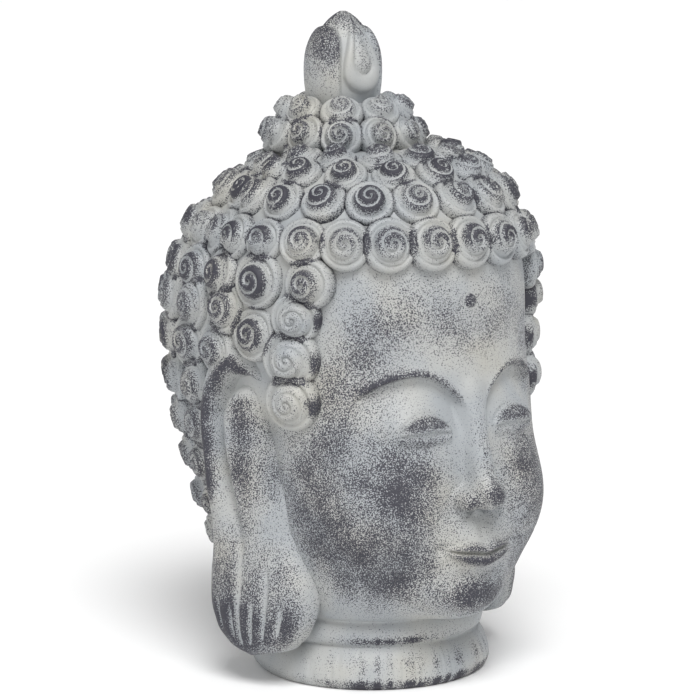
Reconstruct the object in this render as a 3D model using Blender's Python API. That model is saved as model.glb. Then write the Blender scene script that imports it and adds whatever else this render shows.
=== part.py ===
"""Buddha head for a garden or a shelf, cast in one piece.

From the ground up it has two neck rings, a full round head with a calm face, long ears with heavy
lobes, rings of snail-shell curls, a low crown of the same curls and a bud-shaped jewel on top.
It stands on its flat neck and faces -Y, with the middle of its base at the origin.

The head is a free form: its proportions are given in parts, of which the whole height has 600.
"""
import math

import bpy
import numpy as np

# Driving dimensions, in metres
HEIGHT = 0.600          # flat base to the tip of the bud
CURL_WIDTH = 0.041      # the widest curl, across its foot
CURL_GAP = 0.0012       # between the feet of two neighbouring curls
HAIR_DEPTH = 0.006      # of the hair between the curls, above the scalp
CURL_RISE = 0.015       # a curl's top above that hair
CURL_ROOT = 0.008       # how deep a curl's foot is sunk in it
EAR_THICKNESS = 0.044   # of the ear flap at its middle
BUD_WIDTH = 0.072       # the jewel at its widest
DOT_WIDTH = 0.013       # the round mark on the forehead
DOT_RISE = 0.003

# Proportions, in parts of the height
PARTS = 600
PART = HEIGHT / PARTS
NECK_TOP = 62
BROW = 290
DOME_FOOT = 317
DOME_RISE = 155
CROWN = (0, 40, 468)
CROWN_REACH = (62, 62, 54)
BUD_FOOT = 500
BUD_Y = 42
DOT_HEIGHT = 352

# The plain head at rising levels: height, middle in y, reach forward, reach back, half width
LEVELS = np.array([
    (62, 2, 100, 102, 100),
    (68, 4, 114, 104, 103),
    (78, 8, 131, 106, 108),
    (95, 12, 147, 109, 114),
    (120, 16, 158, 116, 120),
    (156, 20, 164, 134, 127),
    (203, 22, 167, 157, 135),
    (260, 23, 167, 179, 142),
    (317, 23, 163, 189, 146),
], dtype=float)

# The ear flap at rising levels: height, front edge y, back edge y, outer x there, share of thickness
EAR_LEVELS = np.array([
    (32, -20, -4, 130, 133, 0.25),
    (36, -38, 14, 130, 142, 0.55),
    (46, -49, 32, 129, 153, 0.80),
    (62, -57, 39, 128, 160, 1.00),
    (95, -62, 41, 127, 163, 1.08),
    (126, -57, 38, 128, 163, 1.05),
    (146, -45, 36, 131, 165, 1.00),
    (165, -40, 37, 133, 167, 1.00),
    (205, -41, 40, 135, 169, 1.00),
    (245, -41, 44, 136, 170, 1.00),
    (272, -34, 41, 139, 169, 1.00),
    (291, -23, 33, 143, 165, 0.95),
    (301, -11, 21, 147, 160, 0.82),
    (306, 2, 9, 151, 155, 0.45),
], dtype=float)

# Rings of curls: height on the scalp, how many, and the half angle that stays open for the face
HAIR_RINGS = (
    (453, 15, 0),
    (434, 20, 0),
    (402, 25, 0),
    (369, 15, 52.5),
    (340, 11, 87),
    (305, 11, 92),
    (266, 10, 108),
    (231, 9, 108),
    (196, 8, 110),
    (161, 9, 106),
    (126, 8, 106),
    (93, 7, 108),
)
# Single curls beside the face, on both sides: height on the scalp and turn
LOCKS = ((340, 57.3), (322, 72.5), (304, 59), (266, 58.4))
# Curls in the valley before the crown: height on the scalp, how many to each side, turn between two
VALLEY_ROW = (463, 4, 24.5)
# Rings on the crown: climb in degrees above its middle, how many, and the turn of the first
CROWN_RINGS = (
    (21, 12, -10),
    (43, 8, 4),
)


def smoothstep(low, high, value):
    """Rise from 0 to 1 between low and high, level at both ends."""
    t = np.clip((value - low) / (high - low), 0, 1)
    return t * t * (3 - 2 * t)


def bump(value, middle, width):
    """Bell of height 1."""
    return np.exp(-((value - middle) / width) ** 2)


def read_levels(levels, column, height):
    """Smooth cubic curve through one column of a table of levels."""
    heights, values = levels[:, 0], levels[:, column]
    slopes = np.gradient(values, heights)
    height = np.clip(height, heights[0], heights[-1])
    i = np.clip(np.searchsorted(heights, height, side="right") - 1, 0, len(heights) - 2)
    step = heights[i + 1] - heights[i]
    t = (height - heights[i]) / step
    ends = values[i] * (1 + 2 * t) * (1 - t) ** 2 + values[i + 1] * t * t * (3 - 2 * t)
    bends = slopes[i] * step * t * (1 - t) ** 2 + slopes[i + 1] * step * t * t * (t - 1)
    return ends + bends


def axis_y(height):
    """The head's middle in y, which leaves the neck's middle above its rings."""
    return read_levels(LEVELS, 1, height) * smoothstep(20, NECK_TOP, height)


def neck_radius(height):
    """Two rings: the lower one rounds in at the base, the upper one laps over it."""
    lower = 110 - ((height - 9) / 28) ** 2 * np.where(height < 9, 60, 10)
    upper = 105 - ((height - 50) / 14) ** 2 * 5.5
    return np.maximum(lower, upper)


def outline_radius(turn, front, back, half, square=0.0):
    """Radius of a head outline, an oval where turn 0 looks forward; square sharpens its front."""
    side, ahead = np.sin(turn), np.cos(turn)
    power = 2.08 + square * smoothstep(0, 0.5, ahead)
    reach = np.where(ahead > 0, front, back)
    return (np.abs(side / half) ** power + np.abs(ahead / reach) ** power) ** (-1 / power)


def plain_radius(turn, height):
    """Radius of the neck and the plain head round their middle."""
    front, back, half = (read_levels(LEVELS, column, height) for column in (2, 3, 4))
    share = smoothstep(NECK_TOP - 2, NECK_TOP + 4, height)
    square = 0.5 * (1 - smoothstep(200, DOME_FOOT, height))
    return neck_radius(height) * (1 - share) + outline_radius(turn, front, back, half, square) * share


def dome_power(turn):
    """How full the skull's dome is in section, where 2 is an ellipse: fuller in front."""
    return 2.1 + 0.9 * smoothstep(-0.3, 0.5, np.cos(turn))


def dome_reach(turn, height):
    """Radius of the skull's dome at a height above its foot."""
    power = dome_power(turn)
    shrink = (1 - ((height - DOME_FOOT) / DOME_RISE) ** power) ** (1 / power)
    return outline_radius(turn, *LEVELS[-1, 2:5]) * shrink


def dome_radius(turn, climb):
    """Radius of the skull's dome along a ray that climbs from the middle at its foot."""
    power = dome_power(turn)
    flat = outline_radius(turn, *LEVELS[-1, 2:5])
    return ((np.cos(climb) / flat) ** power + (np.sin(climb) / DOME_RISE) ** power) ** (-1 / power)


def plain_distance(points):
    """Distance from the plain head, about."""
    x, y, z = np.moveaxis(points, -1, 0)
    level = np.minimum(z, DOME_FOOT)
    ahead = axis_y(level) - y
    flat = np.hypot(x, ahead)
    turn = np.arctan2(x, ahead)
    above = np.maximum(z - DOME_FOOT, 0)
    below_foot = flat - plain_radius(turn, level)
    above_foot = np.hypot(flat, above) - dome_radius(turn, np.arctan2(above, flat))
    return np.where(z > DOME_FOOT, above_foot, below_foot)


def ball_distance(points, middle, reach):
    """Distance from an ellipsoid, about."""
    offset = points - np.array(middle, float)
    reach = np.array(reach, float)
    near = np.linalg.norm(offset / reach, axis=-1)
    return near * (near - 1) / (np.linalg.norm(offset / reach ** 2, axis=-1) + 1e-9)


def bar_distance(points, start, end, start_radius, end_radius):
    """Distance from a round bar that tapers from start to end."""
    start, end = np.array(start, float), np.array(end, float)
    run = end - start
    t = np.clip(((points - start) @ run) / (run @ run), 0, 1)
    return np.linalg.norm(points - start - t[..., None] * run, axis=-1) - start_radius - (
        end_radius - start_radius) * t


def blend(one, other, width):
    """Join of two distances with a soft fillet."""
    share = np.clip(0.5 + 0.5 * (other - one) / width, 0, 1)
    return other * (1 - share) + one * share - width * share * (1 - share)


def head_distance(points):
    """The plain head with cheeks, chin, mouth, nose and eyeballs joined on, alike on both sides."""
    half = points.copy()
    half[..., 0] = np.abs(half[..., 0])
    away = plain_distance(points)
    away = blend(away, ball_distance(half, (56, -82, 168), (58, 66, 62)), 24)
    away = blend(away, ball_distance(half, (0, -124, 92), (38, 32, 26)), 20)
    away = blend(away, ball_distance(half, (0, -126, 136), (44, 33, 34)), 20)
    away = blend(away, bar_distance(half, (0, -141, 270), (0, -160, 194), 8, 11), 16)
    away = blend(away, ball_distance(half, (0, -166, 183), (14, 15, 12.5)), 10)
    away = blend(away, ball_distance(half, (16, -153, 178.5), (10.5, 14, 9.5)), 7)
    return blend(away, ball_distance(half, (50, -117, 243), (33, 26, 23)), 6)


def brow_line(x):
    """Height of the arched brow."""
    away = np.abs(x) - 54
    return BROW - (away / np.where(away < 0, 47, 60)) ** 2 * np.where(away < 0, 34, 30)


def carving(x, z):
    """Depth of the brow hollows, lids and lips at a place of the face, raised where positive."""
    a = np.abs(x)
    # Hollow under the brow's edge
    below = brow_line(a) - z
    reach = smoothstep(8, 20, a) * (1 - smoothstep(84, 110, a))
    depth = -8 * smoothstep(-0.5, 5, below) * (1 - smoothstep(8, 40, below)) * reach
    # Half-closed lids, each a low step on the eyeball
    arc = 1 - np.clip((a - 50) / 26, -1, 1) ** 2
    upper = smoothstep(-1, 1, z - 239 - 2.6 * arc) * (1 - smoothstep(-2, 2, z - 240 - 15.5 * arc))
    under = 239 - 3.6 * arc - z
    lower = smoothstep(-1, 1, under) * (1 - smoothstep(3, 10, under))
    depth += (2.6 * upper + 2.0 * lower) * smoothstep(0, 0.12, arc)
    # Closed lips
    s = np.clip(a / 37, 0, 1)
    line = 132 + 4.2 * s ** 2
    full = 1 - s * s
    up = np.clip((z - line) / np.maximum(11 * full ** 0.75, 0.5), 0, 1)
    down = np.clip((line - z) / np.maximum(13.5 * full ** 0.7, 0.5), 0, 1)
    lips = np.where(z > line, 6 * np.sin(math.pi * up ** 0.7), 7 * np.sin(math.pi * down ** 0.8))
    depth += lips * full ** 0.55 * (a < 37)
    return depth - 3.2 * bump(z, 110.5, 6) * (1 - smoothstep(14, 34, a))


def skin_points(turns, levels, dome_levels):
    """Grid of points on the neck, the face and the dome, found by walking in along each ray."""
    turn, height = np.meshgrid(turns, levels)
    dome_turn, dome_height = np.meshgrid(turns, np.array(dome_levels, float))
    climb = np.arctan2(dome_height - DOME_FOOT, dome_reach(dome_turn, dome_height))
    low_start = np.stack([0 * turn, axis_y(height), height], -1)
    high_start = np.broadcast_to((0.0, LEVELS[-1, 1], DOME_FOOT), dome_turn.shape + (3,))
    low_ray = np.stack([np.sin(turn), -np.cos(turn), 0 * turn], -1)
    high_ray = np.stack([
        np.sin(dome_turn) * np.cos(climb), -np.cos(dome_turn) * np.cos(climb), np.sin(climb)], -1)
    start = np.concatenate([low_start, high_start])
    ray = np.concatenate([low_ray, high_ray])
    plain = np.concatenate([plain_radius(turn, height), dome_radius(dome_turn, climb)])
    all_turns = np.concatenate([turn, dome_turn])
    face = (np.cos(all_turns) > 0.17) & (start[..., 2] > NECK_TOP) & (ray[..., 2] < 0.4)
    radius = plain + 40 * face
    for _ in range(28):
        radius = radius - 0.75 * face * head_distance(start + ray * radius[..., None])
    points = start + ray * radius[..., None]
    radius = radius + carving(points[..., 0], points[..., 2]) * face
    return start + ray * radius[..., None]


def hair_share(turn, height):
    """1 where hair covers the head, 0 on the face and under the ears, with the edge under the curls."""
    opening = np.radians(np.where(height > 250, 52 + 8 * smoothstep(380, 336, height), 100))
    beside = smoothstep(opening - 0.03, opening + 0.12, np.abs(turn))
    beside *= 1 - smoothstep(312, 296, height) * (1 - smoothstep(1.72, 1.84, np.abs(turn)))
    return np.where(height > NECK_TOP + 12, np.maximum(beside, smoothstep(384, 394, height)), 0)


def stitch(ahead, behind):
    """Faces between two runs of points that climb side by side: one quad, or a ladder of triangles."""
    if len(ahead) == len(behind) == 2:
        return [ahead + behind[::-1]]
    faces = []
    i = j = 0
    last_i, last_j = len(ahead) - 1, len(behind) - 1
    while i < last_i or j < last_j:
        if j == last_j or (i < last_i and (i + 0.5) / last_i <= (j + 0.5) / last_j):
            faces.append([ahead[i], ahead[i + 1], behind[j]])
            i += 1
        else:
            faces.append([ahead[i], behind[j + 1], behind[j]])
            j += 1
    return faces


def solid_from_rings(name, rings, coarse_columns=(), coarse_rows=()):
    """Closed mesh from rings of points that run the same way round, from the lowest to the highest.

    In the coarse columns only the coarse rows are kept, and the faces beside them close the seam.
    """
    rows, columns = rings.shape[:2]
    index = np.arange(rows * columns).reshape(rows, columns)
    every_row = list(range(rows))
    kept_rows = [list(coarse_rows) if column in coarse_columns else every_row
                 for column in range(columns)]
    faces = [index[0, ::-1].tolist(), index[-1].tolist()]
    for column in range(columns):
        after = (column + 1) % columns
        shared = [row for row in kept_rows[column] if row in kept_rows[after]]
        for low, high in zip(shared, shared[1:]):
            ahead = [index[row, after] for row in kept_rows[after] if low <= row <= high]
            behind = [index[row, column] for row in kept_rows[column] if low <= row <= high]
            faces += stitch(ahead, behind)
    used, flat = np.unique(np.concatenate(faces), return_inverse=True)
    ends = np.cumsum([len(face) for face in faces])[:-1]
    mesh = bpy.data.meshes.new(name)
    mesh.from_pydata(rings.reshape(-1, 3)[used].tolist(), [], [f.tolist() for f in np.split(flat, ends)])
    piece = bpy.data.objects.new(name, mesh)
    bpy.context.scene.collection.objects.link(piece)
    return piece


def head_solid():
    """Neck, face, skull and its hair, with finer columns and rows where the face is."""
    front = np.concatenate([np.linspace(0, 0.35, 7), (0.43, 0.53, 0.66, 0.82, 1.0)])
    back = np.linspace(1.2, math.pi, 7)
    right = np.concatenate([front, back])
    turns = np.concatenate([right, -right[-2:0:-1]])
    neck = (0, 4, 18, 37, 43, 51, 61)
    face = (66, 73, 82, 94, 114, 119, 124, 129, 133, 137, 141, 146, 156, 166,
            177, 186, 200, 216, 228, 234, 240, 246, 253, 260, 270, 280, 287, 295, 317)
    back_levels = (66, 82, 114, 146, 200, 253, 317)
    dome_levels = (356, 393, 424, 448, 464, 472)
    levels = np.array(neck + face, float)
    points = skin_points(turns, levels, dome_levels) * PART
    cover = HAIR_DEPTH * hair_share(turns, points[..., 2] / PART)
    points[..., 0] += cover * np.sin(turns)
    points[..., 1] -= cover * np.cos(turns)
    plain = [column for column, turn in enumerate(turns) if abs(turn) > 1.1]
    rows = [row for row, level in enumerate(levels) if level in neck + back_levels]
    rows += range(len(levels), len(points))
    return solid_from_rings("buddha_head", points, plain, rows)


def ear_rings(side, across=14, rows=14):
    """Rings round an ear flap; side is 1 for +X and -1 for -X.

    Each ring is a flattened oval between the front and the back edge. On the outer face a trough
    follows the rim round the top of the ear and leaves a tongue in its middle, and the lobe is full.
    """
    bottom, top = EAR_LEVELS[0, 0], EAR_LEVELS[-1, 0]
    rise = 0.5 - 0.5 * np.cos(np.pi * np.linspace(0, 1, rows))
    around, height = np.meshgrid(
        np.linspace(0, 2 * math.pi, across, endpoint=False), bottom + (top - bottom) * rise)
    front, back, x_front, x_back, share = (
        read_levels(EAR_LEVELS, column, height) for column in range(1, 6))
    thickness = share * EAR_THICKNESS / PART
    along = np.sign(np.cos(around)) * np.abs(np.cos(around)) ** 0.63
    outward = np.sign(np.sin(around)) * np.abs(np.sin(around)) ** 0.63
    t = 0.5 - 0.5 * along
    y = front + (back - front) * t
    x = x_front + (x_back - x_front) * t - thickness * (1 - outward) / 2
    middle, half = (front + back) / 2, (back - front) / 2
    rim_y, rim_z = (y - middle) / half, np.maximum(height - 231, 0) / 75
    inward = (1 - np.hypot(rim_y, rim_z)) * half
    trough = smoothstep(10, 18, inward) * smoothstep(118, 160, height)
    tongue = (1 - smoothstep(9, 19, np.abs(y + 3))) * (1 - smoothstep(258, 272, height))
    lobe = 7 * (1 - smoothstep(60, 150, height)) * (1 - (2 * t - 1) ** 2)
    x = x + (lobe - trough * (13 - 11 * tongue)) * np.sqrt(np.clip(outward, 0, 1))
    rings = np.stack([side * x, y, height], -1) * PART
    return rings[:, ::side]


def scalp_point(turn, height):
    """Foot of a curl on the hair over a point of the scalp, the outward normal and the way up there."""
    def at(turn, height):
        if height <= DOME_FOOT:
            radius = float(plain_radius(turn, height))
            middle = float(axis_y(height))
        else:
            radius = float(dome_reach(turn, height))
            middle = LEVELS[-1, 1]
        return np.array([radius * math.sin(turn), middle - radius * math.cos(turn), height])

    point = at(turn, height)
    across = at(turn + 0.01, height) - at(turn - 0.01, height)
    upward = at(turn, height + 0.5) - at(turn, height - 0.5)
    upward /= np.linalg.norm(upward)
    normal = np.cross(across, upward)
    normal /= np.linalg.norm(normal)
    return point + normal * HAIR_DEPTH / PART, normal, upward


def hair_places():
    """Where curls sit on the scalp: evenly along each ring, in the valley and beside the face."""
    places = []
    for height, count, opening in HAIR_RINGS:
        fine = np.radians(np.linspace(opening, 360 - opening, 721))
        track = np.array([scalp_point(turn, height)[0] for turn in fine])
        length = np.concatenate([[0], np.cumsum(np.linalg.norm(np.diff(track, axis=0), axis=1))])
        stops = np.linspace(0, length[-1], count + (opening == 0))[:count]
        places += [scalp_point(turn, height) for turn in np.interp(stops, length, fine)]
    height, count, spacing = VALLEY_ROW
    places += [scalp_point(math.radians(i * spacing), height) for i in range(-count, count + 1)]
    for height, half_turn in LOCKS:
        places += [scalp_point(math.radians(turn), height) for turn in (half_turn, -half_turn)]
    return places


def crown_places():
    """Where curls sit on the crown."""
    reach = np.array(CROWN_REACH, float)
    places = []
    for climb, count, first in CROWN_RINGS:
        climb = math.radians(climb)
        for i in range(count):
            turn = 2 * math.pi * i / count + math.radians(first)
            ray = np.array([
                math.sin(turn) * math.cos(climb), -math.cos(turn) * math.cos(climb), math.sin(climb)])
            normal = ray / reach
            normal /= np.linalg.norm(normal)
            across = np.array([math.cos(turn), math.sin(turn), 0])
            places.append((np.array(CROWN) + ray * reach, normal, np.cross(normal, across)))
    return places


def curl_solids(name, places, sides=6):
    """Low domes, one to a curl, each as wide as the room to its nearest neighbour allows."""
    points = np.array([place[0] for place in places]) * PART
    normals = np.array([place[1] for place in places])
    upward = np.array([place[2] for place in places])
    across = np.cross(upward, normals)
    spans = np.linalg.norm(points[:, None] - points[None], axis=-1) + np.eye(len(points))
    radius = np.minimum((spans.min(axis=1) - CURL_GAP) / 2, CURL_WIDTH / 2)
    turn = (np.arange(sides) + 0.3) * 2 * math.pi / sides
    rings = ((0.88, -CURL_ROOT), (0.86, 0.7 * CURL_RISE))
    vertices = []
    for share, rise in rings:
        spoke = across[:, None] * np.cos(turn)[:, None] + upward[:, None] * np.sin(turn)[:, None]
        ring = points[:, None] + spoke * (share * radius)[:, None, None] + normals[:, None] * rise
        vertices.append(ring)
    vertices.append((points + normals * CURL_RISE)[:, None])
    vertices = np.concatenate(vertices, axis=1)
    foot = np.arange(sides)
    after = np.roll(foot, -1)
    apex = 2 * sides
    one = [foot[::-1].tolist()]
    one += [[i, j, j + sides, i + sides] for i, j in zip(foot.tolist(), after.tolist())]
    one += [[i + sides, j + sides, apex] for i, j in zip(foot.tolist(), after.tolist())]
    faces = [[v + k * (apex + 1) for v in face] for k in range(len(points)) for face in one]
    mesh = bpy.data.meshes.new(name)
    mesh.from_pydata(vertices.reshape(-1, 3).tolist(), [], faces)
    piece = bpy.data.objects.new(name, mesh)
    bpy.context.scene.collection.objects.link(piece)
    return piece


def crown_solid():
    """The low crown under its curls."""
    turn, climb = np.meshgrid(
        np.linspace(0, 2 * math.pi, 16, endpoint=False), np.radians((-50, -20, 10, 40, 70)))
    ray = np.stack([np.sin(turn) * np.cos(climb), -np.cos(turn) * np.cos(climb), np.sin(climb)], -1)
    return solid_from_rings("crown", (np.array(CROWN) + ray * np.array(CROWN_REACH)) * PART)


def bud_solid():
    """Bud-shaped jewel: a full body with a leaf on each side and a rimmed drop in front and behind."""
    turns = np.linspace(0, 2 * math.pi, 16, endpoint=False)
    levels = np.array([BUD_FOOT, 522, 537, 552, 566, 577, 585, 592, PARTS])
    turn, height = np.meshgrid(turns, levels)
    share = np.clip((height - 545) / (PARTS - 545), 0, 1)
    aside = np.abs(np.abs(np.arctan2(np.sin(turn), np.cos(turn))) - math.pi / 2)
    leaf = 1 - smoothstep(-3, 3, height - 586 + 26 * (aside / 0.85) ** 4)
    body = np.where(
        height < 545, 36 - 9 * ((545 - height) / 45) ** 2, 36 * (1 - 0.97 * share ** (1.7 + 0.9 * leaf)) ** 0.72)
    drop = np.hypot((math.pi / 2 - aside) / 0.62, (height - 548) / 27)
    rim = bump(drop, 1, 0.25) * (height < 580)
    radius = body / 36 * BUD_WIDTH / PART / 2 * (0.84 + 0.16 * leaf + 0.1 * rim)
    rings = np.stack([radius * np.sin(turn), BUD_Y - radius * np.cos(turn), height], -1)
    return solid_from_rings("bud", rings * PART)


def forehead_dot():
    """Round mark between the brows, set upright into the forehead."""
    turn = np.arange(10) * 2 * math.pi / 10
    front = skin_points([0.0], [NECK_TOP], [DOT_HEIGHT])[-1, 0, 1] * PART
    rings = [np.stack([
        DOT_WIDTH / 2 * share * np.sin(turn), np.full(10, front - rise),
        DOT_HEIGHT * PART - DOT_WIDTH / 2 * share * np.cos(turn)], -1)
        for share, rise in ((1.0, -DOT_WIDTH / 2), (1.0, 0.4 * DOT_RISE), (0.55, DOT_RISE))]
    return solid_from_rings("forehead_dot", np.array(rings))


def unite(body, piece):
    """Fuse a piece onto the body, and keep it as a hidden cutter."""
    piece.hide_render = True
    piece.display_type = "WIRE"
    union = body.modifiers.new(piece.name, "BOOLEAN")
    union.operation = "UNION"
    union.solver = "EXACT"
    union.object = piece


def cast_stone():
    """Dark cast body under a pale coat that is rubbed off the high places."""
    material = bpy.data.materials.new("whitewashed_cast_stone")
    material.use_nodes = True
    shader = material.node_tree.nodes["Principled BSDF"]
    shader.inputs["Base Color"].default_value = (0.46, 0.47, 0.47, 1)
    shader.inputs["Roughness"].default_value = 0.6
    shader.inputs["Metallic"].default_value = 0.0
    return material


for old in list(bpy.data.objects):
    bpy.data.objects.remove(old)

head = head_solid()
head.data.materials.append(cast_stone())
for piece in (
        crown_solid(),
        curl_solids("hair_curls", hair_places()),
        curl_solids("crown_curls", crown_places()),
        solid_from_rings("left_ear", ear_rings(1)),
        solid_from_rings("right_ear", ear_rings(-1)),
        bud_solid(),
        forehead_dot()):
    unite(head, piece)
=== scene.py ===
"""Looks of the cast buddha head: its fine surface and rubbed whitewash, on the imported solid.

Shapes are worked out in parts of the height, of which the whole head has 600, as in its source.
The head looks to -Y, and a turn is an angle round the upright, 0 in front and rising towards +X.
"""
import math

import bpy
import numpy as np
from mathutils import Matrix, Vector


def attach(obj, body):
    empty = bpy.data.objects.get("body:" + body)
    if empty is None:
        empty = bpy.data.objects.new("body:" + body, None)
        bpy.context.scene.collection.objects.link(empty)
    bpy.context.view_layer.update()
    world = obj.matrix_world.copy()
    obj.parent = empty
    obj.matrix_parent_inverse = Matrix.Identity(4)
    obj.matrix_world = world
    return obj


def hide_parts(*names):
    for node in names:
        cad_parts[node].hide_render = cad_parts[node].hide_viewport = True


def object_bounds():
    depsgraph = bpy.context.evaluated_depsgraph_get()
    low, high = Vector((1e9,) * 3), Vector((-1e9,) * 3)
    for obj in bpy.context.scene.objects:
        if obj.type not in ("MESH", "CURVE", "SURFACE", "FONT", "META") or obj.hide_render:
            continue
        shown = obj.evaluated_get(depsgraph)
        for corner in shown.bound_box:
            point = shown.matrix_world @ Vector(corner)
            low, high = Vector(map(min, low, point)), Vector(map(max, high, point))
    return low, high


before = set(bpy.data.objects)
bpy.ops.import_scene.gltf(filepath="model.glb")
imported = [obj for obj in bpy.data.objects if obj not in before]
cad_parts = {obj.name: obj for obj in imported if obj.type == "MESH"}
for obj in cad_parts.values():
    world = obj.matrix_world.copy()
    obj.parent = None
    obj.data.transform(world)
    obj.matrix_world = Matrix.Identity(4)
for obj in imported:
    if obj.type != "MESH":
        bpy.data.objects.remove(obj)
cad_low, cad_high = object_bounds()


# Finish: whitewash over cast stone. The body is a fine dark cement cast. It is brushed all over
# with a thin mineral wash, which is then sponged off the high places, so that the dark body shows
# there as dense specks while hollows and grooves stay pale. All pieces have this one finish.
# The same dark specks are also used as painted shade in the curls' seams and feet, the hollow
# before each ear's opening and the neck's -X side under the lobe.
PALE = "#aaaba9"           # the wash
PALE_COOL = "#9da1a4"
PALE_WARM = "#aba89d"      # where it dried thick in a hollow
DARK = "#26252d"           # the cast body
DARK_DUSTY = "#3d3d47"
FLECK_MM = 1.1             # spacing of the specks
CLOUD_MM = 26              # spacing of denser and thinner places
TINT_MM = 60
GRAIN_MM = 0.9             # the cast's own skin
PIT_MM = 9


def from_hex(code):
    """Linear RGBA from an sRGB hex value: ((c + 0.055) / 1.055) to the power 2.4."""
    shares = np.array([int(code[i:i + 2], 16) / 255 for i in (1, 3, 5)])
    linear = np.where(shares <= 0.04045, shares / 12.92, ((shares + 0.055) / 1.055) ** 2.4)
    return (*linear.tolist(), 1.0)


def add_node(tree, kind, inputs=None, **settings):
    """Adds a node, sets its properties, and fills or links the inputs given by name or number."""
    node = tree.nodes.new(kind)
    for key, value in settings.items():
        setattr(node, key, value)
    for key, value in (inputs or {}).items():
        if isinstance(value, bpy.types.NodeSocket):
            tree.links.new(value, node.inputs[key])
        else:
            node.inputs[key].default_value = value
    return node


def whitewash():
    """Matt mineral wash, IOR 1.5, with specks of the dark cast where the attribute wear is high.

    A point is dark where wear, shifted by slow clouds, is above a fine noise spread over 0 to 1.
    """
    material = bpy.data.materials.new("whitewashed_cast_stone")
    material.use_nodes = True
    tree = material.node_tree
    shader = tree.nodes["Principled BSDF"]
    place = add_node(tree, "ShaderNodeTexCoord").outputs["Object"]

    def noise(spacing_mm, detail, roughness=0.5):
        return add_node(tree, "ShaderNodeTexNoise", {
            "Vector": place, "Scale": 1000 / spacing_mm, "Detail": detail,
            "Roughness": roughness}).outputs["Fac"]

    def spread(value, start, end, low=0.0, high=1.0, **settings):
        return add_node(tree, "ShaderNodeMapRange", {
            "Value": value, "From Min": start, "From Max": end, "To Min": low, "To Max": high},
            **settings).outputs["Result"]

    def combine(one, other, operation):
        return add_node(
            tree, "ShaderNodeMath", {0: one, 1: other}, operation=operation).outputs["Value"]

    def mix(share, one, other):
        return add_node(tree, "ShaderNodeMix", {
            "Factor": share, 6: one, 7: other}, data_type="RGBA").outputs[2]

    # The wear attribute holds the sponge's wear and, in places, painted shade.
    wear = add_node(tree, "ShaderNodeAttribute", attribute_name="wear").outputs["Fac"]
    fleck = noise(FLECK_MM, 2.0, 0.62)
    clouds = spread(noise(CLOUD_MM, 3.0, 0.6), 0.3, 0.7, 0.75, 1.3)
    over = combine(combine(wear, clouds, "MULTIPLY"), spread(fleck, 0.34, 0.66), "SUBTRACT")
    rubbed = spread(over, -0.05, 0.09, interpolation_type="SMOOTHSTEP")

    tint = noise(TINT_MM, 2.0)
    coat = mix(spread(tint, 0.42, 0.62), from_hex(PALE), from_hex(PALE_COOL))
    coat = mix(spread(tint, 0.42, 0.28, 0.0, 0.5), coat, from_hex(PALE_WARM))
    body = mix(fleck, from_hex(DARK_DUSTY), from_hex(DARK))
    tree.links.new(mix(rubbed, coat, body), shader.inputs["Base Color"])
    tree.links.new(spread(rubbed, 0.0, 1.0, 0.50, 0.62), shader.inputs["Roughness"])

    grain = add_node(tree, "ShaderNodeBump", {
        "Height": noise(GRAIN_MM, 2.0), "Strength": 0.25, "Distance": 0.0004})
    pits = add_node(tree, "ShaderNodeBump", {
        "Height": noise(PIT_MM, 1.0), "Strength": 0.35, "Distance": 0.0012,
        "Normal": grain.outputs["Normal"]})
    tree.links.new(pits.outputs["Normal"], shader.inputs["Normal"])
    shader.inputs["IOR"].default_value = 1.5
    shader.inputs["Metallic"].default_value = 0.0
    return material


finish = whitewash()


# Head: the neck's two rings, the full round face and the skull under the hair, cast in one with
# the rest. The face is calm and plain: arched brows over half-closed lids, a straight nose, closed
# lips. The neck's upper ring laps over the lower one, which has fine upright cracks. The sponge has
# darkened forehead, lids, cheeks, nose, lips, chin and the foot of the neck.
PARTS = 600
PART = (cad_high.z - cad_low.z) / PARTS
NECK_TOP = 62
NECK_LOWER, NECK_UPPER = 110, 105    # radius of each ring at its fullest
LAP_HEIGHT, LAP_DEPTH = 38.5, 3.2    # the groove where the rings meet
CRACKS = 46
CRACK_DEPTH = 0.9
CRACK_SEED = 5
BROW, BROW_ACROSS = 290, 54          # top of the brow's arch, and how far aside it is
EYE_ACROSS, EYE_HALF = 50, 26
SLIT = 239                           # height of the slit between the lids
MOUTH, MOUTH_HALF = 132, 37
UPPER_LIP, LOWER_LIP = 7.5, 8.5      # how far they stand out
SOCKET_DEPTH = 8                     # below the brow
DOME_FOOT = 317
DOME_RISE = 155
HAIR_DEPTH = 6
EAR_HOLLOW = 7                       # how deep the head dips beside each ear's opening
WALK_START = 40                      # the walk to the face starts so far outside the plain head
WALK_STEPS, WALK_SHARE = 28, 0.75    # and goes this share of the distance at each step
# Height, middle in y, reach forward, reach back, half width
LEVELS = np.array([
    (62, 2, 100, 102, 100),
    (68, 4, 114, 104, 103),
    (78, 8, 131, 106, 108),
    (95, 12, 147, 109, 114),
    (120, 16, 158, 116, 120),
    (156, 20, 164, 134, 127),
    (203, 22, 167, 157, 135),
    (260, 23, 167, 179, 142),
    (317, 23, 163, 189, 146),
], dtype=float)


def smoothstep(low, high, value):
    """Rise from 0 to 1 between low and high: 3 t squared less 2 t cubed."""
    t = np.clip((value - low) / (high - low), 0, 1)
    return t * t * (3 - 2 * t)


def bump(value, middle, width):
    """Bell of height 1: e to the minus squared distance over width."""
    return np.exp(-((value - middle) / width) ** 2)


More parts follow.
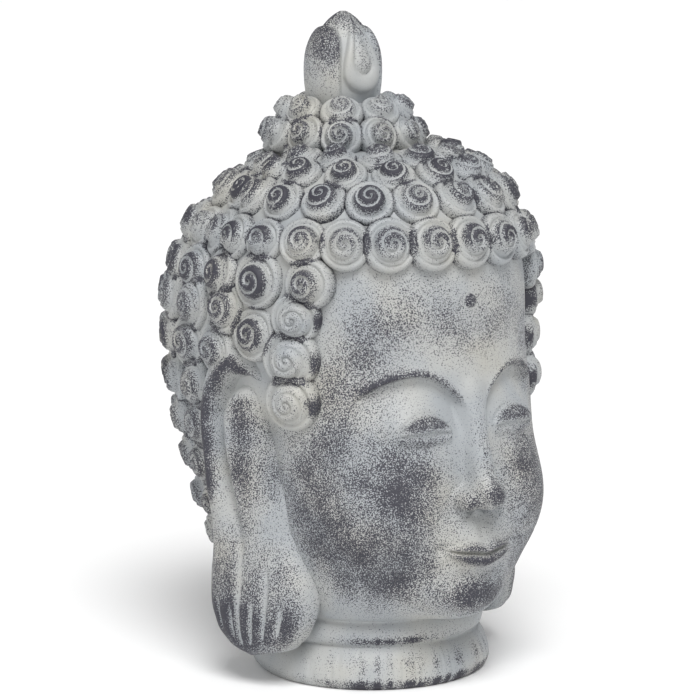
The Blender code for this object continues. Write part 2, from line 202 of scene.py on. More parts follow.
def read_levels(levels, column, height):
    """Cubic curve through one column of a table of levels, with slopes from its neighbours."""
    heights, values = levels[:, 0], levels[:, column]
    slopes = np.gradient(values, heights)
    height = np.clip(height, heights[0], heights[-1])
    i = np.clip(np.searchsorted(heights, height, side="right") - 1, 0, len(heights) - 2)
    step = heights[i + 1] - heights[i]
    t = (height - heights[i]) / step
    ends = values[i] * (1 + 2 * t) * (1 - t) ** 2 + values[i + 1] * t * t * (3 - 2 * t)
    bends = slopes[i] * step * t * (1 - t) ** 2 + slopes[i + 1] * step * t * t * (t - 1)
    return ends + bends


def axis_y(height):
    """The head's middle in y, which leaves the neck's middle above its rings."""
    return read_levels(LEVELS, 1, height) * smoothstep(20, NECK_TOP, height)


def outline_radius(turn, front, back, half, square=0.0):
    """Radius of a superellipse outline, where turn 0 looks forward; square sharpens its front."""
    side, ahead = np.sin(turn), np.cos(turn)
    power = 2.08 + square * smoothstep(0, 0.5, ahead)
    reach = np.where(ahead > 0, front, back)
    return (np.abs(side / half) ** power + np.abs(ahead / reach) ** power) ** (-1 / power)


def plain_radius(turn, height):
    """Radius of the two neck rings, parabolas in height, and above them of the plain head."""
    lower = NECK_LOWER - ((height - 9) / 28) ** 2 * np.where(height < 9, 60, 10)
    upper = NECK_UPPER - ((height - 50) / 14) ** 2 * 5.5
    front, back, half = (read_levels(LEVELS, column, height) for column in (2, 3, 4))
    share = smoothstep(NECK_TOP - 2, NECK_TOP + 4, height)
    square = 0.5 * (1 - smoothstep(200, DOME_FOOT, height))
    head = outline_radius(turn, front, back, half, square)
    return np.maximum(lower, upper) * (1 - share) + head * share


def dome_power(turn):
    """How full the skull's dome is in section, where 2 is an ellipse: fuller in front."""
    return 2.1 + 0.9 * smoothstep(-0.3, 0.5, np.cos(turn))


def dome_reach(turn, height):
    """Radius of the skull's dome at a height above its foot, a superellipse in section."""
    power = dome_power(turn)
    shrink = (1 - ((height - DOME_FOOT) / DOME_RISE) ** power) ** (1 / power)
    return outline_radius(turn, *LEVELS[-1, 2:5]) * shrink


def dome_radius(turn, climb):
    """Radius of the same dome along a ray that climbs from the middle at its foot."""
    power = dome_power(turn)
    flat = outline_radius(turn, *LEVELS[-1, 2:5])
    return ((np.cos(climb) / flat) ** power + (np.sin(climb) / DOME_RISE) ** power) ** (-1 / power)


def plain_distance(points):
    """Distance from the plain head: how far out a point is, less the radius in its direction."""
    x, y, z = np.moveaxis(points, -1, 0)
    level = np.minimum(z, DOME_FOOT)
    ahead = axis_y(level) - y
    flat = np.hypot(x, ahead)
    turn = np.arctan2(x, ahead)
    above = np.maximum(z - DOME_FOOT, 0)
    below_foot = flat - plain_radius(turn, level)
    above_foot = np.hypot(flat, above) - dome_radius(turn, np.arctan2(above, flat))
    return np.where(z > DOME_FOOT, above_foot, below_foot)


def ball_distance(points, middle, reach):
    """Distance from an ellipsoid: n (n - 1) over the length of offset / reach squared."""
    offset = points - np.array(middle, float)
    reach = np.array(reach, float)
    near = np.linalg.norm(offset / reach, axis=-1)
    return near * (near - 1) / (np.linalg.norm(offset / reach ** 2, axis=-1) + 1e-9)


def bar_distance(points, start, end, start_radius, end_radius):
    """Distance from a round bar that tapers from start to end."""
    start, end = np.array(start, float), np.array(end, float)
    run = end - start
    t = np.clip(((points - start) @ run) / (run @ run), 0, 1)
    away = np.linalg.norm(points - start - t[..., None] * run, axis=-1)
    return away - start_radius - (end_radius - start_radius) * t


def blend(one, other, width):
    """Join of two distances with a soft fillet, a quadratic smooth minimum."""
    share = np.clip(0.5 + 0.5 * (other - one) / width, 0, 1)
    return other * (1 - share) + one * share - width * share * (1 - share)


# Masses of the face: middle, reach each way, width of the fillet that joins them on
CHEEK = ((56, -82, 168), (58, 66, 62), 24)
CHIN = ((0, -123, 94), (42, 33, 28), 30)
MUZZLE = ((0, -126, 136), (44, 33, 34), 20)
NOSE_TIP = ((0, -166, 183), (14, 15, 12.5), 10)
NOSE_WING = ((16, -153, 178.5), (10.5, 14, 9.5), 7)
EYEBALL = ((EYE_ACROSS, -117, SLIT + 4), (33, 26, 23), 6)
# Bridge of the nose: its ends, the radius at each; and its fillet
NOSE_BRIDGE = ((0, -141, 270), (0, -160, 194), 8, 11)
BRIDGE_FILLET = 16


def head_distance(points):
    """The plain head with cheeks, chin, mouth, nose and eyeballs joined on, alike on both sides."""
    half = points.copy()
    half[..., 0] = np.abs(half[..., 0])
    away = plain_distance(points)
    for middle, reach, fillet in (CHEEK, CHIN, MUZZLE):
        away = blend(away, ball_distance(half, middle, reach), fillet)
    away = blend(away, bar_distance(half, *NOSE_BRIDGE), BRIDGE_FILLET)
    for middle, reach, fillet in (NOSE_TIP, NOSE_WING, EYEBALL):
        away = blend(away, ball_distance(half, middle, reach), fillet)
    return away


def brow_line(x):
    """Height of the arched brow: a parabola on each side of its top."""
    away = np.abs(x) - BROW_ACROSS
    return BROW - (away / np.where(away < 0, 47, 60)) ** 2 * np.where(away < 0, 34, 30)


def face_relief(x, z):
    """Depth cut into the face (below 0) or raised on it, and the sponge's wear, by place in front view.

    Lids and lips are masks between curves in x, rounded with powers; grooves are narrow bells.
    """
    a = np.abs(x)
    below = brow_line(a) - z
    reach = smoothstep(8, 20, a) * (1 - smoothstep(84, 110, a))
    edge = bump(below, -1.5, 4) * reach
    socket = smoothstep(-0.5, 5, below) * (1 - smoothstep(8, 40, below)) * reach
    depth = 1.6 * edge - SOCKET_DEPTH * socket
    wear = 0.55 * edge
    # Half-closed lids
    arc = 1 - np.clip((a - EYE_ACROSS) / EYE_HALF, -1, 1) ** 2
    crease = SLIT + 1 + 15.5 * arc ** 0.85
    eye = smoothstep(0, 0.12, arc)
    upper = smoothstep(-0.6, 0.6, z - SLIT - 2.6 * arc) * (1 - smoothstep(-1.5, 1.5, z - crease))
    under = SLIT - 3.6 * arc - z
    lower = smoothstep(-0.6, 0.6, under) * (1 - smoothstep(3, 10, under))
    depth += eye * (2.6 * upper + 2 * lower) - 1.6 * bump(z, crease + 1.5, 1.6) * eye
    wear += eye * (0.5 * upper * smoothstep(SLIT + 1, SLIT + 7, z) + 0.2 * lower)
    # Closed lips with a shallow bow
    s = np.clip(a / MOUTH_HALF, 0, 1)
    full = 1 - s * s
    line = MOUTH + 4.2 * s ** 2 - 1.3 * bump(a, 0, 7)
    top = line + 11 * full ** 0.75 - 2.6 * bump(a, 0, 5.5) + 0.6 * bump(a, 10, 5)
    low = line - 13.5 * full ** 0.7
    up = np.clip((z - line) / np.maximum(top - line, 0.3), 0, 1)
    down = np.clip((line - z) / np.maximum(line - low, 0.3), 0, 1)
    above = np.where(up < 0.34, 1 - (1 - up / 0.34) ** 2, 1 - (np.maximum(up - 0.34, 0) / 0.66) ** 1.7)
    beneath = np.where(
        down < 0.42, 1 - (1 - down / 0.42) ** 2, 1 - (np.maximum(down - 0.42, 0) / 0.58) ** 1.9)
    lips = np.where(z >= line, UPPER_LIP * above, LOWER_LIP * beneath) * full ** 0.55
    lips = lips * (a < MOUTH_HALF)
    depth += lips - 2.4 * bump(z, line, 1.5) * smoothstep(1.03, 0.9, s)
    wear += 0.08 * lips * (1 - bump(z, line, 2.2))
    # Mouth corners, the groove above the lips, the hollow below them, nostrils, the chin's fold
    depth -= 2.6 * bump(a, 40, 4.5) * bump(z, 137, 5)
    depth -= 2.2 * bump(a, 0, 4) * smoothstep(140, 147, z) * (1 - smoothstep(161, 168, z))
    depth -= 3.2 * bump(z, 110.5 + 3 * (a / 30) ** 2, 6) * (1 - smoothstep(14, 34, a))
    depth -= 5 * bump(a, 9, 4) * bump(z, 169, 3.2)
    depth -= 1.5 * bump(z, 76 + 10 * (a / 70) ** 2, 3) * (1 - smoothstep(60, 90, a))
    return depth, wear


# Where the sponge has rubbed the head: middle, reach each way, strength; alike on both sides
RUBBED = (
    ((42, -140, 338), (52, 42, 30), 0.44),       # forehead
    ((92, -108, 308), (28, 40, 50), 0.50),       # its side
    ((0, -145, 318), (26, 30, 24), 0.30),        # its middle
    ((50, -140, 370), (60, 50, 16), 0.12),       # below the hair
    ((70, -122, 194), (42, 54, 46), 0.77),       # cheek
    ((104, -84, 140), (30, 44, 44), 0.44),       # jaw
    ((56, -120, 146), (60, 60, 50), 0.30),       # thinly over all of the lower face
    ((130, -58, 180), (26, 40, 70), 0.44),       # before the ear
    ((0, -158, 90), (38, 36, 20), 0.85),         # chin
    ((0, -180, 185), (14, 18, 12), 0.75),        # tip of the nose
    ((0, -165, 225), (8, 20, 40), 0.40),         # its bridge
    ((18, -160, 178), (9, 16, 9), 0.45),         # its wing
    ((114, -80, 250), (24, 40, 56), 0.42),       # temple
    ((70, -112, 108), (46, 46, 30), 0.56),       # below the cheek
)


def rubbed_places(points):
    """Sum of the table's soft bells: e to the minus squared offset over reach."""
    half = points.copy()
    half[..., 0] = np.abs(half[..., 0])
    return sum(strength * np.exp(-(((half - np.array(middle)) / np.array(reach)) ** 2).sum(axis=-1))
               for middle, reach, strength in RUBBED)


def hair_share(turn, height):
    """1 where hair covers the head, 0 on the face and behind the ears."""
    opening = np.radians(np.where(height > 250, 52 + 8 * smoothstep(380, 336, height), 100))
    beside = smoothstep(opening - 0.03, opening + 0.12, np.abs(turn))
    beside *= 1 - smoothstep(312, 296, height) * (1 - smoothstep(1.72, 1.84, np.abs(turn)))
    return np.where(height > NECK_TOP + 12, np.maximum(beside, smoothstep(384, 394, height)), 0)


def head_surface(turns, levels, climbs):
    """Grid of points and their wear, found by walking in along level rays and along the dome's rays."""
    turn, height = np.meshgrid(turns, levels)
    dome_turn, climb = np.meshgrid(turns, climbs)
    low_start = np.stack([0 * turn, axis_y(height), height], -1)
    high_start = np.broadcast_to((0.0, LEVELS[-1, 1], DOME_FOOT), dome_turn.shape + (3,))
    low_ray = np.stack([np.sin(turn), -np.cos(turn), 0 * turn], -1)
    high_ray = np.stack([
        np.sin(dome_turn) * np.cos(climb), -np.cos(dome_turn) * np.cos(climb), np.sin(climb)], -1)
    start = np.concatenate([low_start, high_start])
    ray = np.concatenate([low_ray, high_ray])
    radius = np.concatenate([plain_radius(turn, height), dome_radius(dome_turn, climb)])
    all_turns = np.concatenate([turn, dome_turn])
    face = (np.cos(all_turns) > 0.1) & (start[..., 2] > NECK_TOP) & (ray[..., 2] < 0.5)
    face_start, face_ray = start[face], ray[face]
    walked = radius[face] + WALK_START
    for _ in range(WALK_STEPS):
        walked = walked - WALK_SHARE * head_distance(face_start + face_ray * walked[:, None])
    radius[face] = walked
    points = start + ray * radius[..., None]
    depth, wear = face_relief(points[..., 0], points[..., 2])
    ear_hollow = bump(np.abs(all_turns), 1.25, 0.085) * smoothstep(150, 185, points[..., 2]) * (
        1 - smoothstep(236, 262, points[..., 2]))
    radius = radius + depth * face + HAIR_DEPTH * hair_share(all_turns, points[..., 2])
    radius = radius - EAR_HOLLOW * ear_hollow
    points = start + ray * radius[..., None]
    return points, wear * face + rubbed_places(points)


def make_piece(name, points, quads, triangles, wear):
    """Smooth mesh in metres from points in parts, faces by point number and the wear of each point."""
    mesh = bpy.data.meshes.new(name)
    corners = np.concatenate([np.ravel(quads), np.ravel(triangles)]).astype(np.int32)
    sizes = np.concatenate([np.full(len(quads), 4), np.full(len(triangles), 3)])
    mesh.vertices.add(len(points))
    mesh.vertices.foreach_set("co", (points * PART).astype(np.float32).ravel())
    mesh.loops.add(len(corners))
    mesh.loops.foreach_set("vertex_index", corners)
    mesh.polygons.add(len(sizes))
    mesh.polygons.foreach_set("loop_start", (np.cumsum(sizes) - sizes).astype(np.int32))
    mesh.update(calc_edges=True)
    mesh.shade_smooth()
    layer = mesh.attributes.new("wear", "FLOAT", "POINT")
    layer.data.foreach_set("value", np.clip(wear, 0, 2).astype(np.float32).ravel())
    mesh.materials.append(finish)
    piece = bpy.data.objects.new(name, mesh)
    bpy.context.scene.collection.objects.link(piece)
    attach(piece, "root")
    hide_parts("buddha_head")
    return piece


def ringed_piece(name, rings, wear):
    """Closed piece from rings that run one way round, low to high, with a fan over each end."""
    rows, columns = rings.shape[:2]
    index = np.arange(rows * columns).reshape(rows, columns)
    after = np.roll(index, -1, axis=1)
    quads = np.stack([index[:-1], after[:-1], after[1:], index[1:]], -1).reshape(-1, 4)
    foot = np.full(columns, rows * columns)
    fans = np.concatenate([
        np.stack([after[0], index[0], foot], -1), np.stack([index[-1], after[-1], foot + 1], -1)])
    ends = np.stack([rings[0].mean(axis=0), rings[-1].mean(axis=0)])
    worn = np.concatenate([wear.ravel(), [wear[0].mean(), wear[-1].mean()]])
    return make_piece(name, np.concatenate([rings.reshape(-1, 3), ends]), quads, fans, worn)


def neck_cracks(turn, height):
    """1 in the fine cracks of the lower ring: a narrow bell across, faded at both ends."""
    draw = np.random.default_rng(CRACK_SEED)
    places = draw.uniform(-2.2, 2.2, CRACKS)
    starts = draw.uniform(3, 22, CRACKS)
    lengths = draw.uniform(6, 22, CRACKS)
    cracks = sum(
        bump(turn, place, 0.013) * smoothstep(start - 5, start, height)
        * (1 - smoothstep(start + length, start + length + 4, height))
        for place, start, length in zip(places, starts, lengths))
    return np.clip(cracks, 0, 1) * (height < LAP_HEIGHT + 1.5)


def neck_wear_and_shade(turn, height):
    """The sponge's wear on the neck: streaks up from the foot and a band low on the upper ring."""
    # Weighted to the front and far round the -X side, where it partly paints the shade under the lobe.
    front_wear_and_lobe_shade = smoothstep(1.35, 0.75, np.abs(turn - 0.05))
    streaks = 0.55 + 0.45 * np.sin(turn * 37 + 2 * np.sin(turn * 11))
    foot = (1 - smoothstep(6, 13, height)) * (0.45 + 0.6 * streaks)
    rings = 0.48 * bump(height, 22, 10) * streaks + 0.10 * bump(height, 50, 6)
    band = 0.95 * bump(height, 43.5, 3.8) * bump(turn, -0.48, 0.50) * (0.6 + 0.4 * streaks)
    return (0.2 + 0.8 * front_wear_and_lobe_shade) * (foot + rings) * (height < NECK_TOP + 4) + band


# Turns, levels and climbs stand closest on the face and wider apart under the hair
half_turns = np.concatenate([
    np.arange(0, 0.76, 0.0085), np.arange(0.77, 1.25, 0.0135), np.linspace(1.27, math.pi, 42)])
head_points, head_wear = head_surface(
    np.concatenate([half_turns, -half_turns[-2:0:-1]]),
    np.concatenate([
        [0, 0.6, 2, 4, 6.5], np.arange(9, 62, 1.5), np.arange(62.5, 300, 1.15),
        np.arange(301, 317, 2.2)]),
    np.radians(np.concatenate([np.arange(0, 32, 0.9), np.arange(33, 84, 3)])))
head_height = head_points[..., 2]
head_turn = np.arctan2(head_points[..., 0], -head_points[..., 1])
cracks = neck_cracks(head_turn, head_height)
cut = LAP_DEPTH * bump(head_height, LAP_HEIGHT, 1.6) + CRACK_DEPTH * cracks
head_points[..., :2] *= (1 - cut / NECK_UPPER)[..., None]
head_wear = (head_wear + neck_wear_and_shade(head_turn, head_height)) * (1 - 0.8 * cracks)
ringed_piece("head", head_points, head_wear)


# Ears: long flaps with a rolled rim, a tongue in the trough and a heavy lobe that hangs to the neck
# ring, cast on. A modelling knife has cut the short upright furrows of the lobe; the sponge has
# darkened the rim, the tongue and the lobe between its furrows. The hollow before the opening is
# painted darker as shade.
EAR_THICKNESS = 44
ARCH_FOOT, ARCH_RISE = 231, 75    # the rim's arch above, an ellipse in side view
SQUARENESS = 0.63                 # of the ear's section, where 1 is an ellipse
LOBE_SWELL, RIM_SWELL = 7, 3
TROUGH_DEPTH, HOLLOW_DEPTH, FURROW_DEPTH = 17, 10, 3.6
# Height, front edge y, back edge y, outer x at each, share of thickness
EAR_LEVELS = np.array([
    (29, -10, 0, 133, 136, 0.25),
    (33, -27, 13, 134, 145, 0.50),
    (44, -45, 30, 136, 154, 0.75),
    (62, -55, 39, 136, 160, 0.92),
    (95, -58, 41, 134, 163, 1.00),
    (126, -46, 38, 131, 163, 1.02),
    (146, -40, 36, 131, 165, 1.00),
    (165, -40, 37, 133, 167, 1.00),
    (205, -41, 40, 135, 169, 1.00),
    (245, -41, 44, 136, 170, 1.00),
    (272, -34, 41, 139, 169, 1.00),
    (291, -23, 33, 143, 165, 0.95),
    (301, -11, 21, 147, 160, 0.82),
    (306, 2, 9, 151, 155, 0.45),
], dtype=float)
# Middle of the trough in side view: y and height
TROUGH = (
    (3, 130), (7, 147), (12, 170), (17, 194), (22, 220), (23, 246), (17, 264), (6, 276), (-7, 279),
    (-18, 272), (-25, 258), (-27, 236))
# Furrows in the lobe: share of the way from front to back, lowest and highest point
FURROWS = (
    (0.14, 52, 84), (0.27, 46, 118), (0.40, 42, 88), (0.56, 38, 134), (0.64, 44, 80), (0.80, 52, 84))


def line_distance(y, z, line):
    """Distance from a line of points in side view: the least over its stretches."""
    near = np.full(y.shape, np.inf)
    for (y0, z0), (y1, z1) in zip(line, line[1:]):
        run_y, run_z = y1 - y0, z1 - z0
        t = np.clip(((y - y0) * run_y + (z - z0) * run_z) / (run_y ** 2 + run_z ** 2), 0, 1)
        near = np.minimum(near, np.hypot(y - y0 - t * run_y, z - z0 - t * run_z))
    return near


def ear_rings(side, across=176, rows=200):
    """Rings of rounded squares between the front and back edge, with relief on the outer face.

    The trough is a bell of the distance from its line, deeper above; the tongue stands inside it.
    """
    bottom, top = EAR_LEVELS[0, 0], EAR_LEVELS[-1, 0]
    rise = 0.5 - 0.5 * np.cos(np.pi * np.linspace(0, 1, rows))
    around, height = np.meshgrid(
        np.linspace(0, 2 * math.pi, across, endpoint=False), bottom + (top - bottom) * rise)
    front, back, x_front, x_back, share = (
        read_levels(EAR_LEVELS, column, height) for column in range(1, 6))
    along = np.sign(np.cos(around)) * np.abs(np.cos(around)) ** SQUARENESS
    outward = np.sign(np.sin(around)) * np.abs(np.sin(around)) ** SQUARENESS
    t = 0.5 - 0.5 * along
    y = front + (back - front) * t
    x = x_front + (x_back - x_front) * t - share * EAR_THICKNESS * (1 - outward) / 2
    middle, half = (front + back) / 2, (back - front) / 2
    rim_y, rim_z = (y - middle) / half, np.maximum(height - ARCH_FOOT, 0) / ARCH_RISE
    far = np.hypot(rim_y, rim_z) + 1e-6
    inward = (1 - far) * far / np.hypot(rim_y / half, rim_z / ARCH_RISE)
    trough = bump(line_distance(y, height, TROUGH), 0, 6) * (0.3 + 0.7 * smoothstep(135, 205, height))
    behind = np.maximum(smoothstep(0.45, 0.6, t), smoothstep(264, 284, height))
    rim = bump(inward, 8 + 4 * rim_z / far, 10) * smoothstep(150, 185, height) * behind
    hollow = bump(y, -27, 10) * smoothstep(150, 185, height) * (1 - smoothstep(236, 262, height))
    lobe = 1 - smoothstep(60, 150, height)
    outer = np.sqrt(np.clip(outward, 0, 1))
    furrow = sum(
        bump(t, place, 0.021) * smoothstep(low - 4, low + 6, height)
        * (1 - smoothstep(high - 14, high, height)) for place, low, high in FURROWS)
    relief = LOBE_SWELL * lobe * (1 - (2 * t - 1) ** 2) + RIM_SWELL * rim
    relief = relief - TROUGH_DEPTH * trough - HOLLOW_DEPTH * hollow - FURROW_DEPTH * furrow
    x = x + relief * outer
    rings = np.stack([side * x, y, height], -1)
    wear = 0.95 * rim + 0.75 * bump(y, -3, 14) * smoothstep(120, 200, height) * (
        1 - smoothstep(258, 272, height))
    front_half = 0.75 + 0.25 * smoothstep(0.15, 0.7, t)
    # 0.42 times the hollow is painted shade in the hollow before the ear's opening.
    wear += 0.42 * hollow + 0.56 * smoothstep(190, 100, height) * front_half
    wear = wear * (1 - 0.8 * trough) + 0.44 * bump(height, 60, 24)
    wear = wear * (0.3 + 0.7 * smoothstep(0.15, 0.8, outward)) * (1 - 0.95 * np.clip(furrow, 0, 1))
    return rings[:, ::side], wear[:, ::side]


for side, name in ((1, "left_ear"), (-1, "right_ear")):
    ear_points, ear_wear = ear_rings(side)
    ringed_piece(name, ear_points, ear_wear)


# Curls: snail shells set in rows round the skull, cast with the head. Each winds outward the same
# way for two turns on its top and has a plain round foot. Tops are rubbed dark except for the
# groove, in the row over the forehead on the upper half only. The locks before the ears have kept
# their wash, but for chips on the edge towards the face. The base of each foot and the seams
# between curls are painted dark as shade.
CURL_RADIUS = 24        # at most, with room for it
LEAST_RADIUS = 15
CURL_RISE = 22
PITCH = 0.33            # of the spiral, as a share of the radius
TOP_EDGE = 0.80         # where the whorls end and the foot begins
EDGE_RISE = 0.43        # height there, as a share of the rise
COLUMNS = 28
# Across a whorl: place, height of its roll, wear
WHORL = np.array([(0, 0, 0), (0.12, 0.5, 0.15), (0.26, 0.9, 0.95), (0.62, 1.0, 1.0), (0.86, 0.62, 0.7)])
# The foot: share of the radius, height as a share of the rise
FOOT = ((0.87, 0.51), (0.96, 0.50), (1.04, 0.40), (1.08, 0.22), (1.08, 0.0), (1.0, -0.3))
# Height on the scalp, how many, half angle left open for the face, strength of the wear
HAIR_RINGS = (
    (453, 15, 0, 1.0),
    (434, 20, 0, 1.0),
    (402, 25, 0, 0.95),
    (369, 15, 52.5, 1.0),
    (340, 11, 87, 0.90),
    (305, 11, 92, 0.84),
    (266, 10, 108, 0.82),
    (231, 9, 108, 0.75),
    (196, 8, 110, 0.72),
    (161, 9, 106, 0.66),
    (126, 8, 106, 0.66),
    (93, 7, 108, 0.66),
)
# Single curls beside the face: height, half turn, strength of the wear
LOCKS = ((340, 57.3, 0.35), (322, 72.5, 0.9), (304, 59, 0.3), (266, 58.4, 0.3))
# Curls in the valley before the crown: height on the scalp, how many to each side, turn between two
VALLEY_ROW = (463, 4, 24.5)
VALLEY_WEAR = 0.9
FRONT_ROW = 402         # height of the row that is worn on its upper half only
CHIPPED = 0.36          # locks with less wear than this have chips
CHIP_WEAR = 0.9
# Painted shade in the seams between curls.
SEAM_SHADE = 0.65        # in the seam where two curls meet
HAIR_SPARE, CROWN_SPARE = 0.555, 0.57    # radius as a share of the way to the nearest four
SEED = 7


def curl_template():
    """One curl of radius 1 and height 1: points, wear, quads and triangles.

    The strip of the spiral is a grid: rows cross the whorls, columns run along them, and the radius
    is pitch times (whorl + place across + share of the turn - 1). Points that meet are merged.
    """
    whorls = int(TOP_EDGE / PITCH) + 3
    step, column = np.meshgrid(np.arange(whorls * len(WHORL)), np.arange(COLUMNS + 1), indexing="ij")
    across = WHORL[step % len(WHORL)]
    plain = PITCH * (step // len(WHORL) + across[..., 0] + column / COLUMNS - 1)
    radius = np.clip(plain, 0, TOP_EDGE)
    angle = -2 * math.pi * column / COLUMNS
    dome = 1 - 0.12 * (radius / TOP_EDGE) ** 2 - 0.30 * smoothstep(0.40, TOP_EDGE, radius)
    roll = 0.15 * across[..., 1] * smoothstep(TOP_EDGE, TOP_EDGE - 0.10, radius)
    rise = dome - 0.15 + np.where(plain <= 0, 0.08, roll)
    wear = np.where(plain <= 0, 0.9, across[..., 2]) * (1 - 0.8 * smoothstep(0.55, 0.80, radius))
    top = np.stack([radius * np.cos(angle), radius * np.sin(angle), rise], -1)
    turn = -2 * math.pi * np.arange(COLUMNS + 1) / COLUMNS
    foot = [
        np.stack([share * np.cos(turn), share * np.sin(turn), np.full_like(turn, up)], -1)
        for share, up in ((TOP_EDGE, EDGE_RISE), *FOOT)]
    points = np.concatenate([top, np.array(foot)])
    # Wear fades down the foot's shoulder; the higher values at its base are painted shade in the
    # crevice round each curl.
    foot_wear_and_shade = np.outer((0.05, 0.1, 0.16, 0.24, 0.42, 0.6, 0.7), np.ones(COLUMNS + 1))
    worn = np.concatenate([wear, foot_wear_and_shade])
    index = np.arange(points.shape[0] * (COLUMNS + 1)).reshape(points.shape[0], -1)
    quads = np.stack([index[:-1, :-1], index[:-1, 1:], index[1:, 1:], index[1:, :-1]], -1)
    quads = np.delete(quads, len(top) - 1, axis=0).reshape(-1, 4)
    _, first, merged = np.unique(
        np.round(points.reshape(-1, 3), 4), axis=0, return_index=True, return_inverse=True)
    quads = merged.reshape(-1)[quads]
    same = quads == np.roll(quads, -1, axis=1)
    three = same.sum(axis=1) == 1
    triangles = quads[three][~same[three]].reshape(-1, 3)
    return points.reshape(-1, 3)[first], worn.ravel()[first], quads[~same.any(axis=1)], triangles


def scalp_point(turn, height):
    """Foot of a curl on the scalp, the outward normal and the way up there, from small steps."""
    def at(turn, height):
        if height <= DOME_FOOT:
            radius, middle = float(plain_radius(turn, height)), float(axis_y(height))
        else:
            radius, middle = float(dome_reach(turn, height)), LEVELS[-1, 1]
        return np.array([radius * math.sin(turn), middle - radius * math.cos(turn), height])

    across = at(turn + 0.01, height) - at(turn - 0.01, height)
    upward = at(turn, height + 0.5) - at(turn, height - 0.5)
    upward /= np.linalg.norm(upward)
    normal = np.cross(across, upward)
    return at(turn, height), normal / np.linalg.norm(normal), upward


def hair_places():
    """Where curls sit on the scalp and how worn they are: evenly along each ring, then the others."""
    places = []
    for height, count, opening, strength in HAIR_RINGS:
        fine = np.radians(np.linspace(opening, 360 - opening, 721))
        track = np.array([scalp_point(turn, height)[0] for turn in fine])
        length = np.concatenate([[0], np.cumsum(np.linalg.norm(np.diff(track, axis=0), axis=1))])
        stops = np.linspace(0, length[-1], count + (opening == 0))[:count]
        places += [(*scalp_point(turn, height), strength) for turn in np.interp(stops, length, fine)]
    height, count, spacing = VALLEY_ROW
    for i in range(-count, count + 1):
        places.append((*scalp_point(math.radians(i * spacing), height), VALLEY_WEAR))
    for height, half_turn, strength in LOCKS:
        for turn in (half_turn, -half_turn):
            places.append((*scalp_point(math.radians(turn), height), strength))
    return places


def set_curls(name, places, spare, random):
    """Sets the template on each place, turned and leaned at random, as wide as its neighbours allow.

    A point low on a curl lies in a seam where its distance from a neighbour's upright is about that
    neighbour's radius; such points are painted darker as the seam's shade.
    """
    points, worn, quads, triangles = curl_template()
    feet = np.array([place[0] for place in places])
    normals = np.array([place[1] for place in places])
    upward = np.array([place[2] for place in places])
    strength = np.array([place[3] for place in places])
    across = np.cross(upward, normals)
    spans = np.linalg.norm(feet[:, None] - feet[None], axis=-1) + 1e3 * np.eye(len(feet))
    radius = np.clip(np.sort(spans, axis=1)[:, :4].mean(axis=1) * spare, LEAST_RADIUS, CURL_RADIUS)
    radius *= random.uniform(0.95, 1.04, len(feet))
    rise = CURL_RISE * random.uniform(0.92, 1.04, len(feet))
    lean = random.uniform(-0.16, 0.16, (2, len(feet), 1))
    normals = normals + lean[0] * across + lean[1] * upward
    normals /= np.linalg.norm(normals, axis=1)[:, None]
    upward = np.cross(normals, across)
    upward /= np.linalg.norm(upward, axis=1)[:, None]
    across = np.cross(upward, normals)
    spin = random.uniform(0, 2 * math.pi, len(feet))[:, None]
    x = points[:, 0] * np.cos(spin) - points[:, 1] * np.sin(spin)
    y = points[:, 0] * np.sin(spin) + points[:, 1] * np.cos(spin)
    flat = across[:, None] * x[..., None] + upward[:, None] * y[..., None]
    placed = feet[:, None] + flat * radius[:, None, None] + (
        normals[:, None] * points[:, 2, None] * rise[:, None, None])
    wear = worn * (strength * random.uniform(0.72, 1.12, len(feet)))[:, None]
    toward_face, climb = -flat[..., 1], flat[..., 2]
    lower_half = np.where(points[:, 2] > 0.3, 1 - smoothstep(-0.45, 0.25, climb), 0)
    wear *= 1 - 0.6 * lower_half * (np.abs(feet[:, 2] - FRONT_ROW) < 1)[:, None]
    chip = smoothstep(0.60, 0.76, toward_face) * bump(climb, -0.10, 0.42)
    wear += CHIP_WEAR * chip * (strength < CHIPPED)[:, None]
    low = points[:, 2] < EDGE_RISE + 0.09
    away = placed[:, low][:, :, None] - feet
    along = (away * normals).sum(axis=-1)
    beside = np.sqrt((away ** 2).sum(axis=-1) - along ** 2) / radius
    beside[np.abs(along) > CURL_RISE] = np.inf
    beside[np.arange(len(feet)), :, np.arange(len(feet))] = np.inf
    # Painted shade: low points beside a neighbour are darkened for the shade in the seam between them.
    wear[:, low] += SEAM_SHADE * smoothstep(1.13, 1.01, beside.min(axis=-1))
    shift = np.arange(len(feet))[:, None, None] * len(points)
    return make_piece(name, placed.reshape(-1, 3), (quads + shift).reshape(-1, 4),
                      (triangles + shift).reshape(-1, 3), wear)


chance = np.random.default_rng(SEED)
set_curls("hair_curls", hair_places(), HAIR_SPARE, chance)


# Crown: a low second dome on the skull, set with two rows of the same curls.
CROWN = (0, 40, 468)
CROWN_REACH = (62, 62, 54)
# Climb in degrees above its middle, how many curls, turn of the first
CROWN_RINGS = ((21, 12, -10), (43, 8, 4))
CROWN_WEAR = 0.64


def crown_places():
    """Where curls sit on the crown's ellipsoid, with its normals: offset over reach squared."""
    reach = np.array(CROWN_REACH, float)
    places = []
    for climb, count, first in CROWN_RINGS:
        climb = math.radians(climb)
        for turn in 2 * math.pi * np.arange(count) / count + math.radians(first):
            ray = np.array([
                math.sin(turn) * math.cos(climb), -math.cos(turn) * math.cos(climb), math.sin(climb)])
            normal = ray / reach
            normal /= np.linalg.norm(normal)
            across = np.array([math.cos(turn), math.sin(turn), 0])
            upward = np.cross(normal, across)
            places.append((np.array(CROWN) + ray * reach, normal, upward, CROWN_WEAR))
    return places


